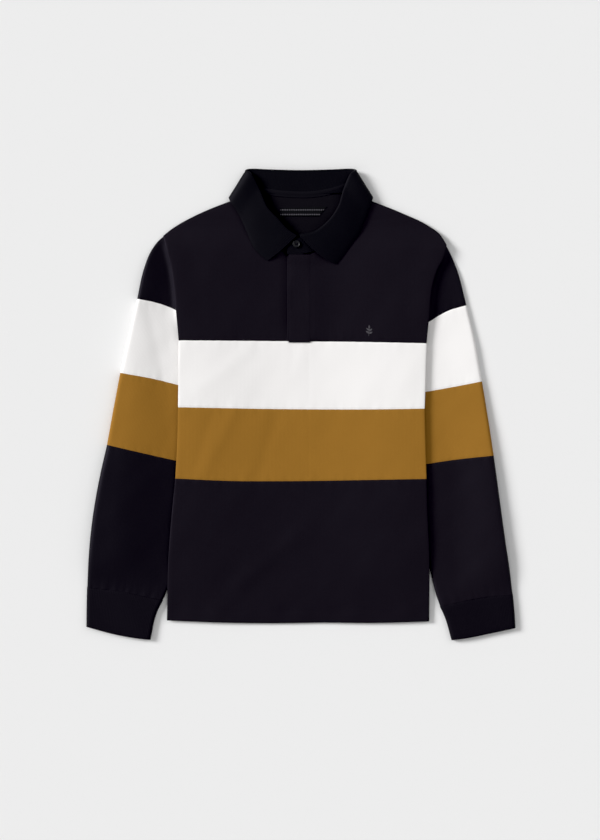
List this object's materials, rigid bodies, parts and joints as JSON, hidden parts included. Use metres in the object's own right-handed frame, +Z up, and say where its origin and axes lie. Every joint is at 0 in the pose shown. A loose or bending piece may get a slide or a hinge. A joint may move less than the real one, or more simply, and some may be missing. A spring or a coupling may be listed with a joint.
{
  "type": "polo shirt",
  "caption": "Long-sleeved rugby-style polo shirt laid flat, with dark, white and ochre colour blocks, turned-down collar, buttoned stand, placket and ribbed cuffs",
  "frame": {"origin": "under the middle of the shirt's box, on the surface that it lies on", "axes": "+Y runs from the hem to the collar, +Z is up off the surface, and the wearer's right side is at -X"},
  "size_m": [0.6433, 0.706, 0.0153],
  "materials": {
    "navy_jersey": "heavy cotton jersey, matt, blue-black",
    "white_jersey": "heavy cotton jersey, matt, warm white",
    "gold_jersey": "heavy cotton jersey, matt, ochre",
    "cuff_rib": "double rib knit, matt, blue-black",
    "collar_rib": "close rib knit, matt, near black",
    "button": "dark resin with a soft gloss",
    "label": "woven satin label with a plain diamond pattern",
    "neck_tape": "cotton twill tape"
  },
  "bodies": {
    "root": {"front_chest_r": "navy_jersey", "front_chest_l": "navy_jersey", "front_white": "white_jersey", "front_gold": "gold_jersey", "front_lower": "navy_jersey", "back_chest": "navy_jersey", "back_white": "white_jersey", "back_gold": "gold_jersey", "back_lower": "navy_jersey", "sleeve_r_upper": "navy_jersey", "sleeve_r_white": "white_jersey", "sleeve_r_gold": "gold_jersey", "sleeve_r_lower": "navy_jersey", "cuff_r": "cuff_rib", "sleeve_l_upper": "navy_jersey", "sleeve_l_white": "white_jersey", "sleeve_l_gold": "gold_jersey", "sleeve_l_lower": "navy_jersey", "cuff_l": "cuff_rib", "collar_fall": "collar_rib", "collar_stand": "collar_rib", "placket_over": "navy_jersey", "placket_under": "navy_jersey", "button": "button", "label": "label", "neck_tape": "neck_tape"}
  },
  "joints": []
}
